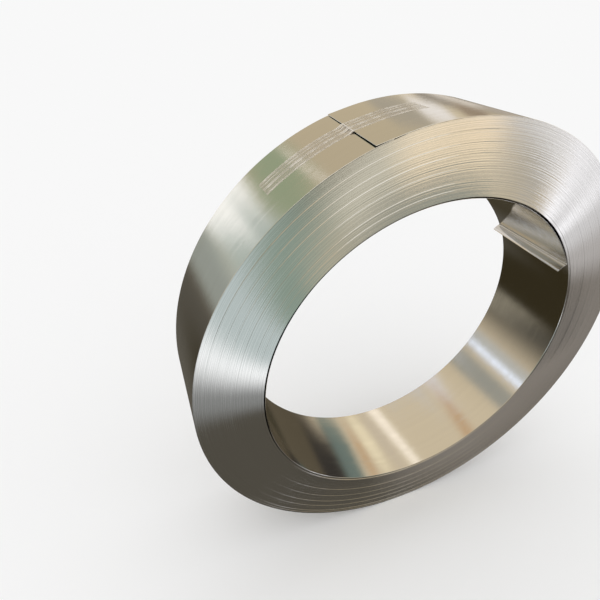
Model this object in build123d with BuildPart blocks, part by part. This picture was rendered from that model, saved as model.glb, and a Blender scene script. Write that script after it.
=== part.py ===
"""A coil of slit steel strip standing on its rim, with its outer tail held down by a length of tape.

The coil's axis is Y, its front end faces -Y and Z is up. The origin is the middle of the coil. Lengths are in
millimetres. Angles are in degrees, as the front shows them: 0 is to the right (+X) and 90 is up (+Z).
Followed inwards, the strip runs clockwise from its outer tail to the bent lip at its inner end.
"""

import os
from math import cos, radians, sin

from build123d import *

# The strip and its winding
strip_width = 143.0
strip_thickness = 0.6
bore_diameter = 508.0
build_up = 93.0

# Turns slipped sideways while they were wound: how far apart the outermost positions lie, and for each group
# of turns, from the bore outwards, where it ends (share of the build-up) and how far forward it lies
# (share of the slip)
side_slip = 2.4
turn_group_shares = [
    (0.05, 0.80),
    (0.14, 1.00),
    (0.24, 0.84),
    (0.32, 0.66),
    (0.41, 0.74),
    (0.50, 0.56),
    (0.58, 0.62),
    (0.65, 0.40),
    (0.71, 0.48),
    (0.78, 0.26),
    (0.86, 0.34),
    (0.92, 0.00),
    (0.97, 0.10),
]
last_turn_slip_share = 0.18

# The outer tail: where it leaves the coil, how far it runs straight on, how far out of square it was sheared,
# and where the turn below it comes clear of it
tail_angle = 104.8
tail_length = 33.0
tail_skew = 9.0
tail_clear_angle = 1.5

# The inner end: where the first turn leaves the bore, how far it sags off it, and the lip bent into the bore
lead_angle = 112.0
sag_angle = 62.0
sag_height = 2.6
crease_angle = 30.5
crease_height = 1.6
lip_bend_angle = 78.0
lip_bend_radius = 2.5
lip_length = 14.0
lip_skew = 7.0

# The tape over the tail
tape_width = 35.0
tape_thickness = 0.25
tape_seat_gap = 0.05
tape_offset = 5.0
tape_start_angle = 129.5
tape_foot_angle = 113.0
tape_end_angle = 93.5

# How far a cut runs past what it cuts
cut_overrun = 5.0

bore_radius = bore_diameter / 2
wound_radius = bore_radius + build_up
half_width = strip_width / 2


def polar(radius, angle):
    """A point of the end view, which the front shows with X to the right and Z up."""
    return Vector(radius * cos(radians(angle)), radius * sin(radians(angle)))


def in_space(view):
    """A point or direction of the end view, at the middle of the coil."""
    return Vector(view.X, 0, view.Y)


def end_view(y):
    """The plane of the end view at a place along the axis."""
    return Plane.XZ.offset(-y)


def slip(share):
    """How far along the axis a group of turns lies from the middle of the coil."""
    return (0.5 - share) * side_slip


def sheared_off(tip, along, skew, y):
    """What the shear takes off a straight strip end, out of square, so that it stays longest at the front."""
    strip_plane = Plane(
        origin=in_space(tip) + Vector(0, y, 0),
        x_dir=in_space(along),
        z_dir=in_space(along.rotate(Axis.Z, -90)),
    )
    with BuildSketch(strip_plane) as waste:
        with BuildLine():
            Polyline(
                (0, half_width),
                (cut_overrun, half_width),
                (cut_overrun, -half_width - cut_overrun),
                (-skew, -half_width - cut_overrun),
                (-skew, -half_width),
                close=True,
            )
        make_face()
    return waste.sketch


# The last turn spirals out by one thickness over two half circles, whose centres lie on the line to the tail
tail_out = polar(1, tail_angle)
tail_along = tail_out.rotate(Axis.Z, 90)
centre_shift = strip_thickness / 4
upper_centre = tail_out * centre_shift
upper_radius = wound_radius + 3 * centre_shift
lower_centre = -upper_centre
lower_radius = wound_radius + centre_shift
half_turn_end = upper_centre - tail_out * upper_radius

with BuildPart() as coil:
    # The wound turns as one turned section, with a step on both ends for each group of turns
    group_start_shares = [0] + [end for end, _ in turn_group_shares[:-1]]
    front_edge = []
    back_edge = []
    for start, (end, forward) in zip(group_start_shares, turn_group_shares):
        for radius in (bore_radius + start * build_up, bore_radius + end * build_up):
            front_edge.append((radius, slip(forward) - half_width))
            back_edge.append((radius, slip(forward) + half_width))
    with BuildSketch(Plane.XY):
        with BuildLine():
            Polyline(*front_edge, *reversed(back_edge), close=True)
        make_face()
    revolve(axis=Axis.Y)

    # The last turn, which ends in the tail: straight on from the tail's root, and clear of the turn below
    last_turn_y = slip(last_turn_slip_share)
    tail_root = tail_out * (wound_radius + strip_thickness)
    tail_tip = tail_root + tail_along * tail_length
    tail_under = tail_out * wound_radius
    clear_point = lower_centre + polar(lower_radius, tail_angle + tail_clear_angle)
    clear_run = (clear_point - tail_under).dot(tail_along)
    with BuildSketch(end_view(last_turn_y)):
        with BuildLine():
            Line(tail_tip, tail_root)
            ThreePointArc(tail_root, upper_centre + polar(upper_radius, tail_angle - 90), half_turn_end)
            ThreePointArc(half_turn_end, lower_centre + polar(lower_radius, tail_angle - 270), clear_point)
            Polyline(
                clear_point,
                tail_under + tail_along * clear_run,
                tail_under + tail_along * tail_length,
                tail_tip,
            )
        make_face()
        Circle(bore_radius + turn_group_shares[-1][0] * build_up - strip_thickness, mode=Mode.SUBTRACT)
    extrude(amount=half_width, both=True)
    short_tail_lift = (tail_length - tail_skew) ** 2 / (2 * wound_radius)
    extrude(
        sheared_off(tail_tip, tail_along, tail_skew, last_turn_y),
        amount=strip_thickness + short_tail_lift / 2,
        both=True,
        mode=Mode.SUBTRACT,
    )

    # The inner end, drawn along the strip's inner side: off the bore in a flat arc, then the bend and the lip
    first_turn_y = slip(turn_group_shares[0][1])
    with BuildSketch(end_view(first_turn_y)):
        with BuildLine():
            sag = ThreePointArc(
                polar(bore_radius, lead_angle),
                polar(bore_radius - sag_height, sag_angle),
                polar(bore_radius - crease_height, crease_angle),
            )
            bend = JernArc(sag @ 1, sag % 1, lip_bend_radius, -lip_bend_angle)
            lip = Line(bend @ 1, bend @ 1 + (bend % 1) * lip_length)
            offset(amount=strip_thickness, side=Side.LEFT)
        make_face()
    extrude(amount=half_width, both=True)
    extrude(
        sheared_off(lip @ 1, lip % 1, lip_skew, first_turn_y),
        amount=strip_thickness * 2,
        both=True,
        mode=Mode.SUBTRACT,
    )
coil.part.label = "coil"

with BuildPart() as tape:
    # Along the turn below the tail, up over the sheared end and on along the last turn
    tape_front = tape_offset - tape_width / 2
    tail_at_tape = tail_length - tail_skew * (tape_front + half_width - last_turn_y) / strip_width
    under_arc_radius = lower_radius + tape_seat_gap
    over_arc_radius = upper_radius + tape_seat_gap
    tape_root = upper_centre + tail_out * over_arc_radius
    with BuildSketch(end_view(tape_offset)):
        with BuildLine():
            under = CenterArc(lower_centre, under_arc_radius, tape_start_angle, tape_foot_angle - tape_start_angle)
            Polyline(under @ 1, tape_root + tail_along * tail_at_tape, tape_root)
            CenterArc(upper_centre, over_arc_radius, tail_angle, tape_end_angle - tail_angle)
            offset(amount=tape_thickness, side=Side.LEFT)
        make_face()
    extrude(amount=tape_width / 2, both=True)
tape.part.label = "tape"

os.makedirs("parts", exist_ok=True)
for piece in (coil, tape):
    export_step(piece.part, f"parts/{piece.part.label}.step")
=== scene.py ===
"""Looks of a coil of bright slit steel strip that stands on its rim, with its outer tail taped down.

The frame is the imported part's: metres, the coil's axis along Y, its front end towards -Y and Z up.
Angles are in degrees as the front shows them: 0 is to the right (+X) and 90 is up (+Z).
"""

import random
from bisect import bisect
from math import atan2, copysign, cos, degrees, pi, radians, sin

import bmesh
import bpy
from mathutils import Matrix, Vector


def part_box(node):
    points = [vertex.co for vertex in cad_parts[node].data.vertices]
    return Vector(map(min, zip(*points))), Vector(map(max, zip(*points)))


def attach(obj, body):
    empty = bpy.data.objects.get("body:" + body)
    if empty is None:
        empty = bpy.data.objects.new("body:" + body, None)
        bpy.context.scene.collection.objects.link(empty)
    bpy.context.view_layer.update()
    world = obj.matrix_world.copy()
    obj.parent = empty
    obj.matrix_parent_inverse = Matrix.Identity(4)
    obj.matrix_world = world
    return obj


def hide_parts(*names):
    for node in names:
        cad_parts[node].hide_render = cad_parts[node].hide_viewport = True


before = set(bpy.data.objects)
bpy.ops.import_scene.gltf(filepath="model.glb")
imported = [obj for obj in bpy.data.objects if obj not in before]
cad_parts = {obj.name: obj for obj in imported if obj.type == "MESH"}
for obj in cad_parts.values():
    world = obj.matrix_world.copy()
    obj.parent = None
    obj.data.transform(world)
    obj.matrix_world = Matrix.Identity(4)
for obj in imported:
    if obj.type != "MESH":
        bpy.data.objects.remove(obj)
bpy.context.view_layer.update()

# The camera
# It stands close to the coil, above and left of its front end, and looks down at it with a wide lens.
camera_place = (-0.3577, -0.4810, 0.4519)
camera_down_angle = 33.84
camera_heading_angle = 20.61
camera_lens = 27.0
camera_film_width = 36.0
camera_near_limit = 0.01

camera_data = bpy.data.cameras.new("camera")
camera_data.lens = camera_lens
camera_data.sensor_width = camera_film_width
camera_data.clip_start = camera_near_limit
camera = bpy.data.objects.new("camera", camera_data)
camera.location = camera_place
camera.rotation_euler = (radians(90 - camera_down_angle), 0, radians(-camera_heading_angle))
bpy.context.scene.collection.objects.link(camera)
bpy.context.scene.camera = camera

# The coil
# One length of bright cold-rolled steel strip, slit to width and wound tight on a mandrel. The wound turns
# are one turned body whose ends step in and out as the turns slipped. On it lie the last turn, which ends
# in the tail, and the loose first turn, which ends in a bent lip.
strip_width = 0.143
strip_thickness = 0.0006
bore_radius = 0.254
build_up = 0.093
wound_radius = bore_radius + build_up
turn_clearance = 0.00004
strip_steps = 256
steel_colour = (0.66, 0.645, 0.62, 1)
edge_colour = (0.69, 0.68, 0.66, 1)

# Turns that slipped sideways: for each group, from the bore outwards, where it ends (share of the
# build-up) and how far forward it lies (share of the slip)
side_slip = 0.0024
turn_group_shares = [
    (0.05, 0.80),
    (0.14, 1.00),
    (0.24, 0.84),
    (0.32, 0.66),
    (0.41, 0.74),
    (0.50, 0.56),
    (0.58, 0.62),
    (0.65, 0.40),
    (0.71, 0.48),
    (0.78, 0.26),
    (0.86, 0.34),
    (0.92, 0.00),
    (0.97, 0.10),
    (1.00, 0.18),
]


def polar(radius, angle):
    """A place in the end view, at the middle of the coil's width."""
    return Vector((radius * cos(radians(angle)), 0, radius * sin(radians(angle))))


def slip(radius):
    """How far along Y the turns at a radius lie from the middle of the coil."""
    group_ends = [end for end, _ in turn_group_shares]
    group = bisect(group_ends, (radius - bore_radius) / build_up)
    forward = turn_group_shares[min(group, len(group_ends) - 1)][1]
    return (0.5 - forward) * side_slip


def across(place, y, width=strip_width, skew=Vector()):
    """The front and back ends of a strip at a place in the end view, the back one less a skew."""
    half = Vector((0, width / 2, 0))
    middle = place + Vector((0, y, 0))
    return middle - half, middle + half - skew


def lay_strip(bm, places, thickness):
    """Extrude a strip's edge from place to place, then thicken it on its right side in the front view."""
    front, back = places[0]
    edge = bm.edges.new((bm.verts.new(front), bm.verts.new(back)))
    faces = []
    for front, back in places[1:]:
        grown = bmesh.ops.extrude_edge_only(bm, edges=[edge])["geom"]
        new_verts = sorted((v for v in grown if isinstance(v, bmesh.types.BMVert)), key=lambda v: v.co.y)
        new_verts[0].co = front
        new_verts[1].co = back
        new_edges = [e for e in grown if isinstance(e, bmesh.types.BMEdge)]
        edge = next(e for e in new_edges if set(e.verts) == set(new_verts))
        faces += [f for f in grown if isinstance(f, bmesh.types.BMFace)]
    bm.normal_update()
    bmesh.ops.solidify(bm, geom=faces, thickness=thickness)


# How squarely a face looks along the axis, or in or out, to count as an end or a side when edges are
# rounded, and how far from the radius an edge may lie
end_facing = 0.9
side_facing = 0.5
near_reach = 0.02


def round_edges(bm, near_radius, side, rounding):
    """Round the long edges on the outer (1) or inner (-1) side of a strip that lies near a radius."""
    bm.normal_update()
    long_edges = []
    for edge in bm.edges:
        end_face, side_face = sorted(edge.link_faces, key=lambda face: -abs(face.normal.y))
        middle = (edge.verts[0].co + edge.verts[1].co) / 2
        outward = Vector((middle.x, 0, middle.z))
        is_end = abs(end_face.normal.y) > end_facing and abs(outward.length - near_radius) < near_reach
        if is_end and side_face.normal.dot(outward.normalized()) * side > side_facing:
            long_edges.append(edge)
    bmesh.ops.bevel(
        bm,
        geom=long_edges,
        offset=rounding,
        affect="EDGES",
        segments=1,
        profile=0.5,
        material=-1,
    )


# The last turn: out by one thickness in a full turn, then straight on, lifted off, to its sheared end
tail_angle = 104.8
tail_length = 0.033
tail_skew = 0.009
tail_steps = 6
last_turn_degrees = 358
last_edge_rounding = 0.0002


def last_turn_places():
    """The inner side of the last turn, from its start below the tail round the coil to the tail's end."""
    y = slip(wound_radius)
    places = []
    for step in range(strip_steps + 1):
        turned = last_turn_degrees * (1 - step / strip_steps)
        radius = wound_radius - strip_thickness * turned / 360
        places.append(across(polar(radius, tail_angle - turned), y))
    root = polar(wound_radius, tail_angle)
    along = polar(1, tail_angle + 90)
    for step in range(1, tail_steps + 1):
        run = tail_length * step / tail_steps
        skew = along * tail_skew * step / tail_steps
        places.append(across(root + along * run, y, skew=skew))
    return places


# The first turn: loose in the bore, from its end hidden behind the lip, round the bore to the crease and
# the lip. It stands off the bore at some angles, by the distances beside them, and its crease runs askew.
lead_sags = [
    (29, 0.0012),
    (42, 0.0028),
    (60, 0.0024),
    (78, 0.0012),
    (96, 0.0003),
    (112, 0.0),
    (135, 0.0003),
    (158, 0.0015),
    (178, 0.0015),
    (200, 0.0006),
    (225, 0.0),
    (345, 0.0),
    (402, 0.0),
]
lead_end_angle = 402
front_crease_angle = 29.6
back_crease_angle = 30.8
bend_margin = 0.0004
lip_bend_radius = 0.0025
lip_bend_angle = 96
lip_end_angle = 70
lip_steps = 8
front_lip_length = 0.0148
back_lip_length = 0.0105
first_edge_rounding = 0.0004


def lead_sag(angle):
    """How far the first turn stands off the bore, along a smooth curve through the given places."""
    place = min(max(bisect(lead_sags, (angle,)) - 1, 0), len(lead_sags) - 2)
    (start, low), (end, high) = lead_sags[place : place + 2]
    before = lead_sags[max(place - 1, 0)]
    after = lead_sags[min(place + 2, len(lead_sags) - 1)]
    low_slope = (high - before[1]) / (end - before[0]) * (end - start)
    high_slope = (after[1] - low) / (after[0] - start) * (end - start)
    share = (angle - start) / (end - start)
    rise = (high - low) * share**2 * (3 - 2 * share)
    return low + rise + share * (1 - share) * (low_slope * (1 - share) - high_slope * share)


def lead_edge(y, crease_angle, lip_length):
    """One edge of the first turn: round the bore to the crease, through the bend and along the lip."""
    wall_radius = bore_radius + strip_thickness - turn_clearance
    crease = polar(wall_radius - lead_sag(crease_angle), crease_angle)
    inward = polar(-1, crease_angle)
    along = polar(1, crease_angle - 90)
    edge = []
    for step in range(strip_steps):
        angle = lead_end_angle + (crease_angle - lead_end_angle) * step / strip_steps
        edge.append(polar(wall_radius - lead_sag(angle), angle))
    edge.append(crease - along * bend_margin)
    for step in range(lip_steps + 1):
        turn = radians(lip_bend_angle * step / lip_steps)
        edge.append(crease + (along * sin(turn) + inward * (1 - cos(turn))) * lip_bend_radius)
    for step in range(lip_steps):
        turn = radians(lip_bend_angle + (lip_end_angle - lip_bend_angle) * step / (lip_steps - 1))
        edge.append(edge[-1] + (along * cos(turn) + inward * sin(turn)) * lip_length / lip_steps)
    return [point + Vector((0, y, 0)) for point in edge]


def first_turn_places():
    """The outer side of the first turn, from its hidden end to the sheared end of the lip."""
    y = slip(bore_radius)
    front = lead_edge(y - strip_width / 2, front_crease_angle, front_lip_length)
    back = lead_edge(y + strip_width / 2, back_crease_angle, back_lip_length)
    return list(zip(front, back))


# The wound body: how many turns are left to the loose first turn and its play, how far single turns stand
# out at random, and how much lower the steps are round the angle where the turns lie evenly
loose_turns = 2
winding_seed = 11
turn_jitter = 0.000015
even_share = 0.85
even_angle = 20
even_spread = 1.6
body_steps = 128

# How far the edges of its turns lean outwards, in degrees: at random, by how much less at the rim than at
# the bore, and at a step, whose edge catches the light near the top: none, all, all, none at four angles
turn_lean_spread = 0.7
outer_lean = -14.0
step_lean = 26.0
step_glint_angles = (80, 96, 124, 140)


def slipped_share(angle):
    """How much of the slip is left at an angle: the turns lie more evenly on the right."""
    even = min(max(0.5 + cos(radians(angle - even_angle)) / even_spread, 0), 1)
    return 1 - even_share * even**2 * (3 - 2 * even)


def glint(angle):
    """How much the edge of a step leans at an angle: only near the top, where the turns slipped."""
    rise_start, rise_end, fall_start, fall_end = step_glint_angles
    rise = (angle - rise_start) / (rise_end - rise_start)
    fall = (fall_end - angle) / (fall_end - fall_start)
    return min(max(min(rise, fall), 0), 1)


def wind_body(bm, lean):
    """Turn the wound body from its section, whose ends have a ridge for every turn."""
    draw = random.Random(winding_seed)
    turn_count = round(build_up / strip_thickness)
    scatter = [draw.gauss(0, turn_lean_spread) for _ in range(turn_count)]
    last_radius = wound_radius - strip_thickness - turn_clearance
    rings = []
    for turn in range(loose_turns, turn_count - 1):
        start = bore_radius + turn * strip_thickness
        end = last_radius if turn == turn_count - 2 else start + strip_thickness
        here = slip(start + strip_thickness / 2)
        next_out = slip(end + strip_thickness / 2)
        # The turns lean in pairs, each pair by how far it departs from its neighbours
        pair = turn // 2
        leaning = outer_lean * ((start - bore_radius) / build_up - 0.5)
        leaning += scatter[pair] - (scatter[pair - 1] + scatter[pair + 1]) / 2
        step = step_lean if here < next_out else 0
        rings.append((start, end, here + draw.uniform(-turn_jitter, turn_jitter), leaning, step))
    outline = []
    for start, end, shift, _, _ in rings:
        outline += [(start, shift - strip_width / 2), (end, shift - strip_width / 2)]
    for start, end, shift, _, _ in reversed(rings):
        outline += [(end, shift + strip_width / 2), (start, shift + strip_width / 2)]
    laid = set(bm.verts)
    laid_faces = set(bm.faces)
    corners = [bm.verts.new((r, y, 0)) for r, y in outline]
    sides = [bm.edges.new((a, b)) for a, b in zip(corners, corners[1:] + corners[:1])]
    bmesh.ops.spin(
        bm,
        geom=corners + sides,
        cent=(0, 0, 0),
        axis=(0, 1, 0),
        dvec=(0, 0, 0),
        angle=2 * pi,
        steps=body_steps,
        use_merge=True,
        use_duplicate=False,
    )
    ends = [end for _, end, _, _, _ in rings]
    for face in set(bm.faces) - laid_faces:
        middle = face.calc_center_median()
        ring = min(bisect(ends, Vector((middle.x, middle.z)).length), len(rings) - 1)
        leaning, step = rings[ring][3:]
        face[lean] = radians(leaning + step * glint(degrees(atan2(middle.z, middle.x))))
    # The steps are lower where the turns lie evenly, and the outermost ridge follows the last turn out
    for vert in set(bm.verts) - laid:
        view = Vector((vert.co.x, vert.co.z))
        angle = degrees(atan2(view.y, view.x))
        square = copysign(strip_width / 2, vert.co.y)
        vert.co.y = square + (vert.co.y - square) * slipped_share(angle)
        if abs(view.length - last_radius) < turn_clearance / 4:
            turned = (tail_angle - angle) % 360
            grown = 1 + strip_thickness * (1 - turned / 360) / view.length
            vert.co.x *= grown
            vert.co.z *= grown


class Shade:
    """A node socket that joins in sums as a number does; each sum adds a Math node."""

    def __init__(self, tree, socket=None):
        self.tree = tree
        self.socket = socket

    def feed(self, node, inputs):
        """Give a node's inputs their values or links."""
        for name, value in inputs.items():
            if isinstance(value, Shade):
                self.tree.links.new(value.socket, node.inputs[name])
            else:
                node.inputs[name].default_value = value

    def node(self, kind, settings=None, inputs=None, output=0):
        """The output of a new node: its settings first, then the values or links of its inputs."""
        made = self.tree.nodes.new("ShaderNode" + kind)
        for name, value in (settings or {}).items():
            setattr(made, name, value)
        self.feed(made, inputs or {})
        return Shade(self.tree, made.outputs[output])

    def math(self, operation, *others):
        """What a Math node makes of this value and any others."""
        return self.node("Math", {"operation": operation}, dict(enumerate((self, *others))))

    def __add__(self, other):
        return self.math("ADD", other)

    __radd__ = __add__

    def __sub__(self, other):
        return self.math("SUBTRACT", other)

    def __rsub__(self, other):
        return self.node("Math", {"operation": "SUBTRACT"}, {0: other, 1: self})

    def __mul__(self, other):
        return self.math("MULTIPLY", other)

    __rmul__ = __mul__

    def __truediv__(self, other):
        return self.math("DIVIDE", other)

    def __pow__(self, other):
        return self.math("POWER", other)

    def coordinates(self, kind):
        """The x, y and z of the place on a piece (Object) or of the direction in the world (Generated)."""
        split = self.node("SeparateXYZ", inputs={0: self.node("TexCoord", output=kind)}).socket.node
        return [Shade(self.tree, socket) for socket in split.outputs]

    def smooth(self, low, high):
        """0 at low, 1 at high and an eased rise or fall between."""
        return self.node(
            "MapRange",
            {"interpolation_type": "SMOOTHSTEP"},
            {"Value": self, "From Min": low, "From Max": high},
        )

    def mix(self, first, second):
        """A colour that goes from first to second as this value goes from 0 to 1."""
        return self.node(
            "Mix",
            {"data_type": "RGBA"},
            {0: self, 6: first, 7: second},
            output=2,
        )

    def noise(self, scale, detail=3.0):
        """Noise along this value alone."""
        return self.node(
            "TexNoise",
            {"noise_dimensions": "1D"},
            {"W": self * scale, "Scale": 1.0, "Detail": detail},
        )


def new_finish(name):
    """A material, its shader and a Shade to build its nodes from."""
    material = bpy.data.materials.new(name)
    material.use_nodes = True
    tree = material.node_tree
    return material, tree.nodes["Principled BSDF"], Shade(tree)


def darker(colour, share):
    """A colour with only a share of its light."""
    return tuple(share * part for part in colour[:3]) + (1,)


# The finish of the rolled sides: fine roll lines, broader streaks, and how dull they leave the steel
roll_line_scale = 1400.0
roll_line_strength = 0.5
roll_line_depth = 0.00006
streak_scale = 90.0
streak_range = (0.3, 0.7)
streak_light_share = 0.98
side_roughness = 0.1
streak_roughness = 0.02


def rolled_side():
    """The strip's rolled side: bright, with fine roll lines along the strip that blur it only across."""
    material, shader, start = new_finish("rolled_side")
    _, y, _ = start.coordinates("Object")
    lines = y.noise(roll_line_scale)
    streaks = y.noise(streak_scale).smooth(*streak_range)
    bump = start.node(
        "Bump",
        inputs={"Strength": roll_line_strength, "Distance": roll_line_depth, "Height": lines},
    )
    looks = {
        "Base Color": streaks.mix(steel_colour, darker(steel_colour, streak_light_share)),
        "Roughness": side_roughness + streak_roughness * streaks,
        "Normal": bump,
        "Metallic": 1.0,
    }
    start.feed(shader, looks)
    return material


# The finish of the slit edges: how far each leans outwards at its inner corner, how much more at its outer
# one, and the share of both left below a height; then the grain across the turns, and how dull they are
slit_lean = 11.5
slit_rounding_lean = 7.0
low_lean_share = 0.4
low_lean_height = -0.16
grain_scale = 950.0
grain_range = (0.33, 0.67)
grain_light_share = 0.86
slit_roughness = 0.07
slit_roughness_spread = 0.05


def slit_edge():
    """The slit edges of the turns, rounded outwards by the slitter, so that light fans out across them."""
    material, shader, start = new_finish("slit_edge")
    x, y, z = start.coordinates("Object")
    radius = (x * x + z * z) ** 0.5
    turn = (radius - bore_radius) / strip_thickness
    chance = start.node("TexWhiteNoise", {"noise_dimensions": "1D"}, {"W": turn.math("FLOOR")})
    lean = start.node("Attribute", {"attribute_name": "lean"}, output="Fac")
    tilt = radians(slit_lean) + radians(slit_rounding_lean) * turn.math("FRACT") + lean
    tilt = tilt * (low_lean_share + (1 - low_lean_share) * z.smooth(low_lean_height, 0.0))
    outward = tilt.math("SINE") / radius
    normal = start.node(
        "CombineXYZ",
        inputs={0: x * outward, 1: y.math("SIGN") * tilt.math("COSINE"), 2: z * outward},
    )
    grain = radius.noise(grain_scale).smooth(*grain_range)
    looks = {
        "Base Color": grain.mix(edge_colour, darker(edge_colour, grain_light_share)),
        "Roughness": slit_roughness + slit_roughness_spread * chance,
        "Normal": normal,
        "Metallic": 1.0,
    }
    start.feed(shader, looks)
    return material


# Closing a mesh: how near two corners are to be one, and from which angle an edge is sharp
merge_reach = 0.000001
sharp_angle = 30


def place_piece(bm, name, materials):
    """Close a mesh's seams, turn its faces outwards and put it in the scene as a piece of the root body."""
    bmesh.ops.remove_doubles(bm, verts=bm.verts, dist=merge_reach)
    bmesh.ops.recalc_face_normals(bm, faces=bm.faces)
    for face in bm.faces:
        face.smooth = True
    mesh = bpy.data.meshes.new(name)
    bm.to_mesh(mesh)
    bm.free()
    mesh.set_sharp_from_angle(angle=radians(sharp_angle))
    for material in materials:
        mesh.materials.append(material)
    piece = bpy.data.objects.new(name, mesh)
    bpy.context.scene.collection.objects.link(piece)
    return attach(piece, "root")


# How squarely a face looks along the axis to be a slit edge and not a rolled side
slit_facing = 0.8

coil_mesh = bmesh.new()
lean_layer = coil_mesh.faces.layers.float.new("lean")
lay_strip(coil_mesh, last_turn_places(), strip_thickness)
round_edges(coil_mesh, wound_radius, 1, last_edge_rounding)
for face in coil_mesh.faces:
    face[lean_layer] = radians(outer_lean / 2)
lay_strip(coil_mesh, first_turn_places(), strip_thickness)
round_edges(coil_mesh, bore_radius, -1, first_edge_rounding)
wind_body(coil_mesh, lean_layer)
coil_mesh.normal_update()
for face in coil_mesh.faces:
    face.material_index = 1 if abs(face.normal.y) > slit_facing else 0
coil = place_piece(coil_mesh, "wound_strip", [rolled_side(), slit_edge()])
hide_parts("coil")

# The tape
# A short length of clear packing tape with glass fibres along it, pressed over the sheared end of the tail.
# It starts on the turn below the tail, climbs on to the tail and ends on the last turn.
tape_width = 0.035
tape_thickness = 0.00025
tape_film_gap = 0.00005
tape_offset = 0.005
tape_start_angle = 129.5
tape_foot_angle = 110.7
tape_end_angle = 93.5
tape_steps = 24
tape_tail_steps = 4
tape_colour = (0.60, 0.53, 0.43, 1)
# The colour of the strands and selvedge, also used for the painted highlight along the crease at the tail's
# end
strand_and_highlight_colour = (0.84, 0.785, 0.70, 1)

# Its strands, which wander sideways and fade in patches, its selvedge and the painted highlight along its
# crease: scales and ranges of the noise, places across (shares of half the width) and along (degrees), and
# how pale and clear each is
strand_scale = 360.0
strand_range = (0.5, 0.6)
strand_wander = 0.0020
wander_scale = 0.7
patch_scale = 0.35
patch_range = (0.35, 0.65)
slow_noise_detail = 2.0
patch_pale_share = 0.45
selvedge_shares = (0.88, 0.96)
selvedge_pale_share = 0.5
crease_highlight_half_angles = (0.04, 0.16)
film_alpha = 0.34
pale_alpha = 0.5
tape_roughness = 0.3


def tape_places():
    """The tape's outer side, just over the steel, from below the tail to its end on the last turn."""
    low = wound_radius + tape_film_gap
    high = wound_radius + strip_thickness + tape_film_gap
    route = []
    for step in range(tape_steps + 1):
        angle = tape_start_angle + (tape_foot_angle - tape_start_angle) * step / tape_steps
        route.append(polar(low, angle))
    root = polar(high, tail_angle)
    along = polar(1, tail_angle + 90)
    tail_at_tape = tail_length - tail_skew * (tape_offset - tape_width / 2 + strip_width / 2) / strip_width
    for step in range(tape_tail_steps + 1):
        route.append(root + along * tail_at_tape * (1 - step / tape_tail_steps))
    for step in range(1, tape_steps + 1):
        angle = tail_angle + (tape_end_angle - tail_angle) * step / tape_steps
        route.append(polar(high, angle))
    return [across(place, tape_offset, tape_width) for place in route]


def fibre_tape():
    """Clear film with pale strands along it, a pale selvedge and a painted highlight along the crease at
    the tail's end.
    """
    material, shader, start = new_finish("fibre_tape")
    x, y, z = start.coordinates("Object")
    angle = z.math("ARCTAN2", x).math("DEGREES")
    wander = strand_wander * (angle.noise(wander_scale, slow_noise_detail) - 0.5)
    strands = (y + wander).noise(strand_scale).smooth(*strand_range)
    patches = angle.noise(patch_scale, slow_noise_detail).smooth(*patch_range)
    across_tape = (y - tape_offset).math("ABSOLUTE") * (2 / tape_width)
    selvedge = across_tape.smooth(*selvedge_shares)
    from_tail = angle - (tail_angle + degrees(tail_length / wound_radius))
    from_tail = from_tail + degrees(tail_skew / wound_radius) / strip_width * (y + strip_width / 2)
    # A painted highlight: a pale, less clear band along the crease where the tape bends over the tail's end
    crease = 1 - from_tail.math("ABSOLUTE").smooth(*crease_highlight_half_angles)
    pale = strands * (patch_pale_share + (1 - patch_pale_share) * patches)
    pale = pale.math("MAXIMUM", selvedge * selvedge_pale_share).math("MAXIMUM", crease)
    looks = {
        "Base Color": pale.mix(tape_colour, strand_and_highlight_colour),
        "Alpha": film_alpha + pale_alpha * pale,
        "Roughness": tape_roughness,
    }
    start.feed(shader, looks)
    return material


tape_mesh = bmesh.new()
lay_strip(tape_mesh, tape_places(), tape_thickness)
tape = place_piece(tape_mesh, "closing_tape", [fibre_tape()])
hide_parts("tape")

# The studio
# A plain pale floor and plain soft light from all round. Only reflections show the soft panels in the
# world, and they give the bright steel its light and dark bands.
floor_colour = (0.94, 0.94, 0.94, 1)
floor_roughness = 0.9
floor_reach = 80.0

floor_mesh = bmesh.new()
bmesh.ops.create_grid(floor_mesh, x_segments=1, y_segments=1, size=floor_reach)
bmesh.ops.translate(floor_mesh, verts=floor_mesh.verts, vec=(0, 0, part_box("coil")[0].z))
floor_data = bpy.data.meshes.new("floor")
floor_mesh.to_mesh(floor_data)
floor_mesh.free()
floor = bpy.data.objects.new("floor", floor_data)
bpy.context.scene.collection.objects.link(floor)
floor_finish, floor_shader, floor_start = new_finish("floor")
floor_looks = {"Base Color": floor_colour, "Roughness": floor_roughness, "Specular IOR Level": 0.0}
floor_start.feed(floor_shader, floor_looks)
floor_data.materials.append(floor_finish)
floor.visible_glossy = False

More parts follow.
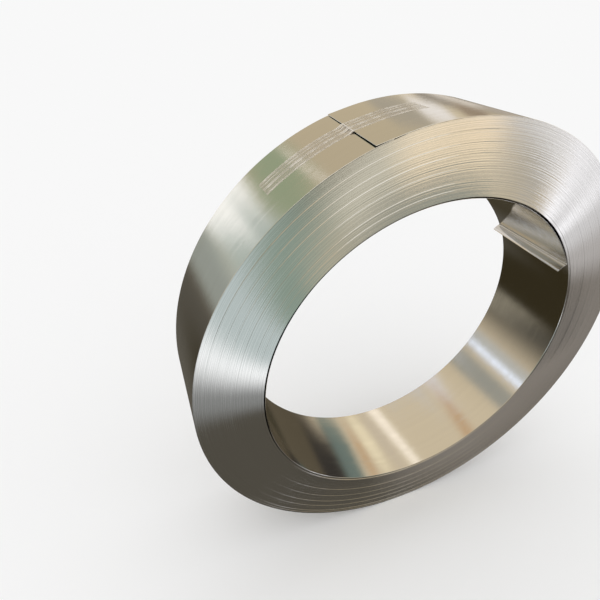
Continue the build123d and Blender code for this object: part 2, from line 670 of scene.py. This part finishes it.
# Panels: heading (0 is +X, 90 is +Y), height above the horizon, half width, half height and colour. A
# panel covers those before it, and its edges fade over a share of its half size on either side of them.
light_panels = [
    (0, -90, 400, 20, (0.062, 0.056, 0.048)),
    (-85, 55, 60, 12, (1.40, 1.36, 1.26)),
    (-6, -13, 34, 8, (0.60, 0.575, 0.565)),
    (-10, -8.5, 40, 6, (0.88, 0.87, 0.89)),
    (-22, -2.8, 24, 1.8, (1.55, 1.55, 1.62)),
    (-16, -8.4, 26, 1.4, (1.42, 1.42, 1.48)),
    (-70, 17, 36, 9, (0.43, 0.44, 0.375)),
    (-92, 0, 14, 6, (0.58, 0.57, 0.45)),
    (-68, 1, 14, 5, (0.86, 0.83, 0.70)),
    (-52, 4, 13, 3.6, (1.50, 1.23, 0.88)),
    (-36, 2.4, 9, 2.8, (0.62, 0.59, 0.53)),
    (-112, -39.5, 44, 7.5, (0.33, 0.34, 0.34)),
    (-112, -27, 40, 11, (1.42, 1.46, 1.50)),
    (-104, -11, 26, 8, (0.36, 0.46, 0.39)),
    (-110, -24, 34, 7, (0.70, 0.80, 0.81)),
    (95, 22, 42, 15, (0.66, 0.56, 0.39)),
    (138, -42, 22, 18, (0.045, 0.036, 0.018)),
    (118, -58, 16, 8, (0.043, 0.034, 0.016)),
    (40, -16, 14, 20, (0.13, 0.108, 0.072)),
    (52, -40, 20, 10, (0.065, 0.055, 0.034)),
    (142.5, -19, 3.7, 7, (0.34, 0.31, 0.24)),
    (121, -6, 8, 6, (0.40, 0.43, 0.39)),
    (119, 13, 8, 13, (0.57, 0.65, 0.60)),
    (103, 22, 9, 6, (0.40, 0.47, 0.31)),
    (113.5, 5, 3, 6, (1.40, 1.40, 1.36)),
    (108.5, 9, 3.5, 6, (1.40, 1.40, 1.36)),
    (96.5, 28, 1, 5, (1.0, 0.92, 0.78)),
    (62, 19, 4, 6, (0.50, 0.45, 0.36)),
    (55.5, 16, 2.5, 5, (1.05, 1.0, 0.95)),
    (53.5, 6, 2.5, 4, (0.34, 0.30, 0.25)),
    (49, 9, 2, 5, (0.36, 0.28, 0.20)),
    (45, -2, 4, 5, (0.48, 0.42, 0.35)),
    (51, 0, 3, 4, (0.74, 0.67, 0.58)),
    (96, 49, 20, 5, (0.80, 0.785, 0.79)),
    (125, 43, 6, 6, (0.98, 0.96, 0.98)),
    (148, 10, 12, 6, (0.66, 0.66, 0.62)),
    (150, 13, 8, 2, (1.30, 1.42, 1.65)),
    (146, 26, 9, 6, (0.43, 0.43, 0.38)),
    (136.5, 12, 6, 6, (0.36, 0.335, 0.30)),
    (135, 22.5, 5.5, 4, (1.05, 1.05, 1.1)),
    (131, 53, 4, 5, (0.72, 0.48, 0.27)),
    (60, 52, 4, 12, (1.46, 1.32, 1.12)),
    (50, 47, 4, 6, (0.80, 0.69, 0.53)),
    (43, 39, 4, 5, (1.18, 1.04, 0.74)),
    (37, 33, 4, 3, (0.74, 0.52, 0.31)),
    (33, 19, 7, 8, (0.20, 0.26, 0.235)),
    (30.3, 5, 6.3, 9, (0.05, 0.045, 0.04)),
]
panel_fade_share = 0.4

# Behind the panels: the ceiling's light, which fades into the ground's over a range of heights. To the
# right of the front end, over a range of the direction's x and of headings, the ground is lighter.
ceiling_light = (0.86, 0.735, 0.53, 1)
ground_light = (0.115, 0.105, 0.085, 1)
front_ground_light = (0.295, 0.267, 0.24, 1)
plain_light = (1.0, 1.0, 1.0, 1)
horizon_heights = (-18.0, 12.0)
front_ground_reach = (0.24, 0.34)
front_ground_headings = (-45.0, -14.0)


def covers(away, half_size):
    """1 within a panel's half size of its middle and 0 outside, with a soft edge."""
    outer = (1 + panel_fade_share) * half_size
    inner = (1 - panel_fade_share) * half_size
    return away.math("ABSOLUTE").smooth(outer, inner)


world = bpy.data.worlds.new("studio")
world.use_nodes = True
world.cycles.sampling_method = "NONE"
bpy.context.scene.world = world
sky = Shade(world.node_tree)
look_x, look_y, look_z = sky.coordinates("Generated")
heading = look_y.math("ARCTAN2", look_x).math("DEGREES")
height = look_z.math("ARCSINE").math("DEGREES")
in_front = look_x.smooth(*front_ground_reach) * heading.smooth(*front_ground_headings)
ground = in_front.mix(ground_light, front_ground_light)
light = height.smooth(*horizon_heights).mix(ground, ceiling_light)
for panel_heading, panel_height, half_width, half_height, colour in light_panels:
    cover = covers(heading - panel_heading, half_width) * covers(height - panel_height, half_height)
    light = cover.mix(light, colour + (1,))
light = sky.node("LightPath", output="Is Glossy Ray").mix(plain_light, light)
light = sky.node("LightPath", output="Is Camera Ray").mix(light, floor_colour)
sky.feed(world.node_tree.nodes["Background"], {"Color": light})

bpy.context.scene.view_settings.view_transform = "Standard"
